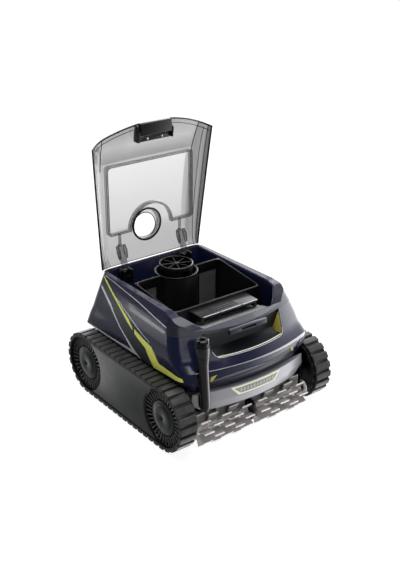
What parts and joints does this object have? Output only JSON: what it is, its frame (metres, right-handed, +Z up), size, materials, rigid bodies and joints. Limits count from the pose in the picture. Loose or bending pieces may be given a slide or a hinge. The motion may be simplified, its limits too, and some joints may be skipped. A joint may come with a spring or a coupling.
{
  "type": "pool_cleaner",
  "caption": "Cordless tracked pool cleaner with its see-through lid open, filter basket, twin front brushes and side belts",
  "frame": {"origin": "on the floor, midway between the front and rear wheel axes and between the two belts", "axes": "+X to the machine's left side as it drives towards -Y, with the brushes at -Y and the lid's hinges at +Y, +Z up. Left and right in names are as seen by somebody who faces the front, so left is -X"},
  "size_m": [0.43, 0.4602, 0.6255],
  "materials": {
    "navy_gloss": "deep navy paint under a glossy clear coat",
    "silver_paint": "silver-grey metallic paint, satin",
    "lime_yellow": "lime-yellow plastic inlay, satin",
    "pale_yellow": "pale yellow frame around a grey plate with plain raised bars",
    "olive_plastic": "olive-yellow moulded trim",
    "black_plastic": "black moulded plastic, satin",
    "graphite_plastic": "dark grey moulded plastic, fine texture",
    "belt_rubber": "dark rubber, matt",
    "smoke_clear": "smoke-grey see-through moulded plastic",
    "mesh_grey": "fine grey filter mesh",
    "blade_clear": "translucent grey-brown moulded blades",
    "gunmetal": "dark brown-black metallic tube",
    "steel": "plain stainless steel",
    "pack_blue": "blue sealed battery case"
  },
  "bodies": {
    "root": {"chassis_tub": "black_plastic", "body_shell": "navy_gloss", "front_bezel": "silver_paint", "front_fascia": "navy_gloss", "bumper_bar": "silver_paint", "badge_plate": "pale_yellow", "side_stripe_left": "lime_yellow", "side_stripe_right": "lime_yellow", "grip_pocket": "graphite_plastic", "pocket_trim": "olive_plastic", "latch_catch": "silver_paint", "bay_liner": "navy_gloss", "outlet_duct": "black_plastic", "outlet_grille": "black_plastic", "pump_motor": "graphite_plastic", "battery_pack": "pack_blue", "drive_motor_left": "graphite_plastic", "drive_motor_right": "graphite_plastic", "track_frame_left": "black_plastic", "track_frame_right": "black_plastic", "track_belt_left": "belt_rubber", "track_belt_right": "belt_rubber", "side_cover_left": "graphite_plastic", "side_cover_right": "graphite_plastic", "axle_front_left": "steel", "axle_front_right": "steel", "brush_centre_support": "black_plastic", "connector_post": "gunmetal", "post_cap": "black_plastic", "hinge_mount_left": "black_plastic", "hinge_mount_right": "black_plastic", "hinge_pin_left": "steel", "hinge_pin_right": "steel"},
    "lid": {"lid_shell": "smoke_clear", "lid_seal_frame": "smoke_clear", "lid_collar": "smoke_clear", "hinge_arm_left": "smoke_clear", "hinge_arm_right": "smoke_clear", "latch_bracket": "black_plastic", "latch_screw_left": "steel", "latch_screw_right": "steel"},
    "latch": {"latch_lever": "black_plastic"},
    "canister": {"canister_basket": "black_plastic", "canister_mesh_left": "mesh_grey", "canister_mesh_right": "mesh_grey", "canister_handle": "black_plastic"},
    "flap": {"intake_flap": "belt_rubber"},
    "rotor": {"impeller": "graphite_plastic"},
    "roller_left": {"brush_left": "blade_clear"},
    "roller_right": {"brush_right": "blade_clear"},
    "front_wheel_left": {"wheel_front_left": "graphite_plastic", "hub_cap_front_left": "graphite_plastic"},
    "rear_wheel_left": {"wheel_rear_left": "graphite_plastic", "hub_cap_rear_left": "graphite_plastic", "drive_shaft_rear_left": "steel"},
    "front_wheel_right": {"wheel_front_right": "graphite_plastic", "hub_cap_front_right": "graphite_plastic"},
    "rear_wheel_right": {"wheel_rear_right": "graphite_plastic", "hub_cap_rear_right": "graphite_plastic", "drive_shaft_rear_right": "steel"}
  },
  "joints": [
    {"name": "lid_hinge", "type": "hinge", "parent": "root", "child": "lid", "pos_m": [0, 0.1675, 0.2775], "axis": [-1, 0, 0], "range_deg": [-88, 0]},
    {"name": "latch_hinge", "type": "hinge", "parent": "lid", "child": "latch", "pos_m": [0, 0.155, 0.5995], "axis": [-1, 0, 0], "range_deg": [0, 35], "stiffness_Nm_per_rad": 0.05},
    {"name": "canister_lift", "type": "slide", "parent": "root", "child": "canister", "axis": [0, 0, 1], "range_m": [0, 0.17]},
    {"name": "intake_flap_hinge", "type": "hinge", "parent": "canister", "child": "flap", "pos_m": [0, -0.0318, 0.1328], "axis": [1, 0, 0], "range_deg": [0, 70]},
    {"name": "impeller_spin", "type": "hinge", "parent": "root", "child": "rotor", "pos_m": [0, 0.08, 0.2645], "axis": [0, 0, 1], "continuous": true},
    {"name": "wheel_rear_left_spin", "type": "hinge", "parent": "root", "child": "rear_wheel_left", "pos_m": [-0.19, 0.1544, 0.0757], "axis": [1, 0, 0], "continuous": true},
    {"name": "wheel_front_left_spin", "type": "hinge", "parent": "root", "child": "front_wheel_left", "pos_m": [-0.19, -0.1544, 0.0757], "axis": [1, 0, 0], "continuous": true},
    {"name": "brush_left_spin", "type": "hinge", "parent": "root", "child": "roller_left", "pos_m": [-0.08, -0.189, 0.039], "axis": [1, 0, 0], "continuous": true},
    {"name": "wheel_rear_right_spin", "type": "hinge", "parent": "root", "child": "rear_wheel_right", "pos_m": [0.19, 0.1544, 0.0757], "axis": [1, 0, 0], "continuous": true},
    {"name": "wheel_front_right_spin", "type": "hinge", "parent": "root", "child": "front_wheel_right", "pos_m": [0.19, -0.1544, 0.0757], "axis": [1, 0, 0], "continuous": true},
    {"name": "brush_right_spin", "type": "hinge", "parent": "root", "child": "roller_right", "pos_m": [0.08, -0.189, 0.039], "axis": [1, 0, 0], "continuous": true}
  ],
  "couplings": [
    {"joint": "wheel_front_left_spin", "follows": "wheel_rear_left_spin", "ratio": 1},
    {"joint": "brush_left_spin", "follows": "wheel_rear_left_spin", "ratio": -2.0552},
    {"joint": "wheel_front_right_spin", "follows": "wheel_rear_right_spin", "ratio": 1},
    {"joint": "brush_right_spin", "follows": "wheel_rear_right_spin", "ratio": -2.0552}
  ]
}
